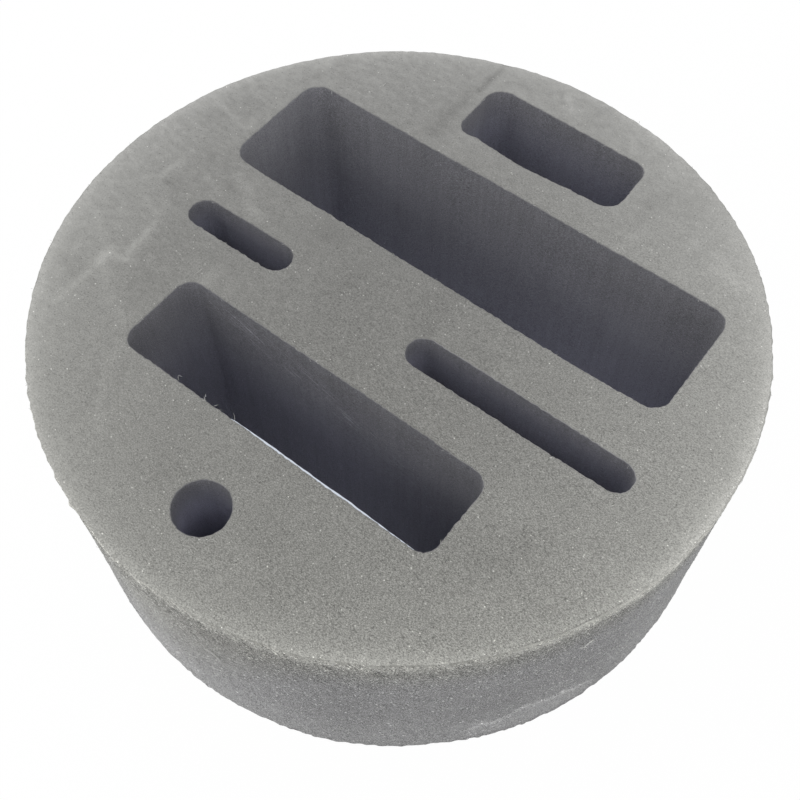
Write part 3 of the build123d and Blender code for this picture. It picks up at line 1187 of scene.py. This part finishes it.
strands = [
    # start, bend and end of each loose hair, and how thick it is
    ((12.3, -74.2, 36.6), (14.1, -73.9, 35.2), (14.9, -73.7, 32.2), 0.34),
    ((68.6, -30.9, 43.6), (68.2, -31.7, 42.9), (67.8, -32.6, 41.4), 0.26),
    ((67.4, -33.3, 42.4), (67.8, -32.6, 41.8), (68.1, -32.1, 40.9), 0.24),
    ((-22.6, -40.9, 54.8), (-22.9, -40.7, 56.6), (-21.8, -40.5, 56.4), 0.08),
    ((-7.9, -41.0, 54.8), (-7.6, -40.8, 56.0), (-8.1, -40.6, 57.0), 0.07),
]

knots = [
    # place, spread and number of the short hairs in each tuft
    ((-15.3, -41.2, 55.0), 0.35, 5),
    ((-13.0, -41.2, 55.0), 0.30, 3),
    ((67.7, -32.4, 11.5), 0.30, 7),
    ((14.8, -73.6, 28.0), 0.25, 5),
    ((67.9, -32.2, 41.6), 0.25, 5),
    ((-37.9, -35.1, 55.0), 0.20, 2),
]


def tube(line, thickness, sides=4, spans=6):
    # a thin closed tube along a bent line
    start, bend, end = (np.array(point, float) for point in line)
    corners, faces = [], []
    for step in range(spans + 1):
        s = step / spans
        centre = (1 - s) ** 2 * start + 2 * s * (1 - s) * bend + s * s * end
        ahead = unit(2 * (1 - s) * (bend - start) + 2 * s * (end - bend))
        side = unit(np.cross(ahead, (0.31, 0.55, 0.78)))
        other = np.cross(ahead, side)
        radius = thickness / 2 * (1 - 0.5 * s)
        for turn in np.arange(sides) * 2 * math.pi / sides:
            corners.append(centre + radius * (math.cos(turn) * side + math.sin(turn) * other))
    for step in range(spans):
        for number in range(sides):
            near, following = step * sides + number, step * sides + (number + 1) % sides
            faces.append((near, following, following + sides, near + sides))
    faces.append(tuple(range(sides - 1, -1, -1)))
    faces.append(tuple(spans * sides + np.arange(sides)))
    return corners, faces


def looseHairs(paint):
    rng = np.random.default_rng(31)
    lines = [((start, bend, end), thickness) for start, bend, end, thickness in strands]
    for place, spread, count in knots:
        for number in range(count):
            start = np.array(place) + rng.normal(0, spread, 3) * (1, 1, 0.4)
            run = rng.normal(0, 0.28, 3)
            lines.append(((start, start + run + rng.normal(0, 0.08, 3), start + 2 * run), 0.10))
    corners, faces = [], []
    for line, thickness in lines:
        first = len(corners)
        made, walls = tube(line, thickness)
        corners += made
        faces += [tuple(int(first + number) for number in face) for face in walls]
    mesh = bpy.data.meshes.new("looseHairs")
    mesh.from_pydata([tuple(point * metre) for point in corners], [], faces)
    mesh.materials.append(paint)
    mesh.update()
    print("looseHairs:", sum(len(face.vertices) - 2 for face in mesh.polygons), "triangles")
    return newObject("looseHairs", mesh)


pale, share = paleFoamMaterial(), shares()
flecks, hairs = fleckTree(), hairTree()
dressing = [
    scatter("specks", flecks, share["specks"], specks, pale),
    scatter("wallFlecks", flecks, share["wallFlecks"], wallFlecks, pale),
    scatter("rimNap", flecks, share["rimNap"], rimNap, pale),
    scatter("ledgeFringe", flecks, share["ledgeFringe"], ledgeFringe, pale),
    scatter("lint", hairs, share["lint"], lint, pale),
    scatter("whiskers", hairs, share["whiskers"], whiskers, pale),
    looseHairs(pale),
]

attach(foamPiece, "root")
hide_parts("foam_insert")
for piece in dressing:
    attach(piece, "root")


stageSet = {
    "floorSize": 6.0,
    "floorDrop": 0.0001,
    "worldLight": 0.72,
    "window": {"place": (-0.55, 0.35, 0.75), "size": 0.5, "power": 2.9},
    "room": {"place": (-0.15, -0.85, 0.45), "size": 0.6, "power": 2.2},
}


def floorMaterial():
    material, bench, place = newMaterial("paleFloor")
    x, y, z = place.split()
    # painted shadow: under the foam, where the floor shows through the cut-outs, it glows a darker
    # bluish grey
    under = ((x * x + y * y) ** 0.5).fall(70.0, 74.0)
    path = bench.node("ShaderNodeLightPath", output="Is Camera Ray")
    lit = bench.node("ShaderNodeBsdfDiffuse", None, {"Color": (0.86, 0.87, 0.89, 1)})
    glowAndShadowColour = bench.mix(under, (1, 1, 1, 1), (0.64, 0.69, 0.765, 1))
    glow = bench.node("ShaderNodeEmission", None, {"Color": glowAndShadowColour, "Strength": 1.0})
    mixed = bench.node("ShaderNodeMixShader", None, {0: path * 0.985, 1: lit, 2: glow})
    bench.node("ShaderNodeOutputMaterial", None, {"Surface": mixed})
    return material


half, drop = stageSet["floorSize"] / 2, -stageSet["floorDrop"]
floorMesh = bpy.data.meshes.new("floor")
corners = [(-half, -half, drop), (half, -half, drop), (half, half, drop), (-half, half, drop)]
floorMesh.from_pydata(corners, [], [(0, 1, 2, 3)])
floorMesh.materials.append(floorMaterial())
newObject("floor", floorMesh)

world = bpy.data.worlds.new("studio")
world.use_nodes = True
world.node_tree.nodes.clear()
sky = Wire(world.node_tree)
seen = sky.node("ShaderNodeLightPath", output="Is Camera Ray")
strength = seen * (1 - stageSet["worldLight"]) + stageSet["worldLight"]
backdrop = sky.node("ShaderNodeBackground", None, {"Color": (1, 1, 1, 1), "Strength": strength})
sky.node("ShaderNodeOutputWorld", None, {"Surface": backdrop})
bpy.context.scene.world = world

for name in ("window", "room"):
    lampData = bpy.data.lights.new(name, "AREA")
    lampData.size = stageSet[name]["size"]
    lampData.energy = stageSet[name]["power"]
    lamp = newObject(name, lampData)
    lamp.location = stageSet[name]["place"]
    lamp.rotation_euler = (Vector((0, 0, 0.05)) - lamp.location).to_track_quat("-Z", "Y").to_euler()

shot = {
    "place": (0.07946, -0.10255, 0.23156),
    "turn": 37.68,
    "down": 58.84,
    "roll": 0.26,
    "lens": 48.28,
}

cameraData = bpy.data.cameras.new("camera")
cameraData.sensor_width = 36.0
cameraData.lens = shot["lens"]
cameraData.clip_start = 0.01
camera = newObject("camera", cameraData)
camera.matrix_world = (
    Matrix.Translation(shot["place"])
    @ Matrix.Rotation(math.radians(shot["turn"]), 4, "Z")
    @ Matrix.Rotation(math.radians(90 - shot["down"]), 4, "X")
    @ Matrix.Rotation(math.radians(shot["roll"]), 4, "Z")
)
bpy.context.scene.camera = camera
bpy.context.scene.view_settings.view_transform = "Standard"
print("floor, lamp and camera are in place")

bpy.context.view_layer.update()
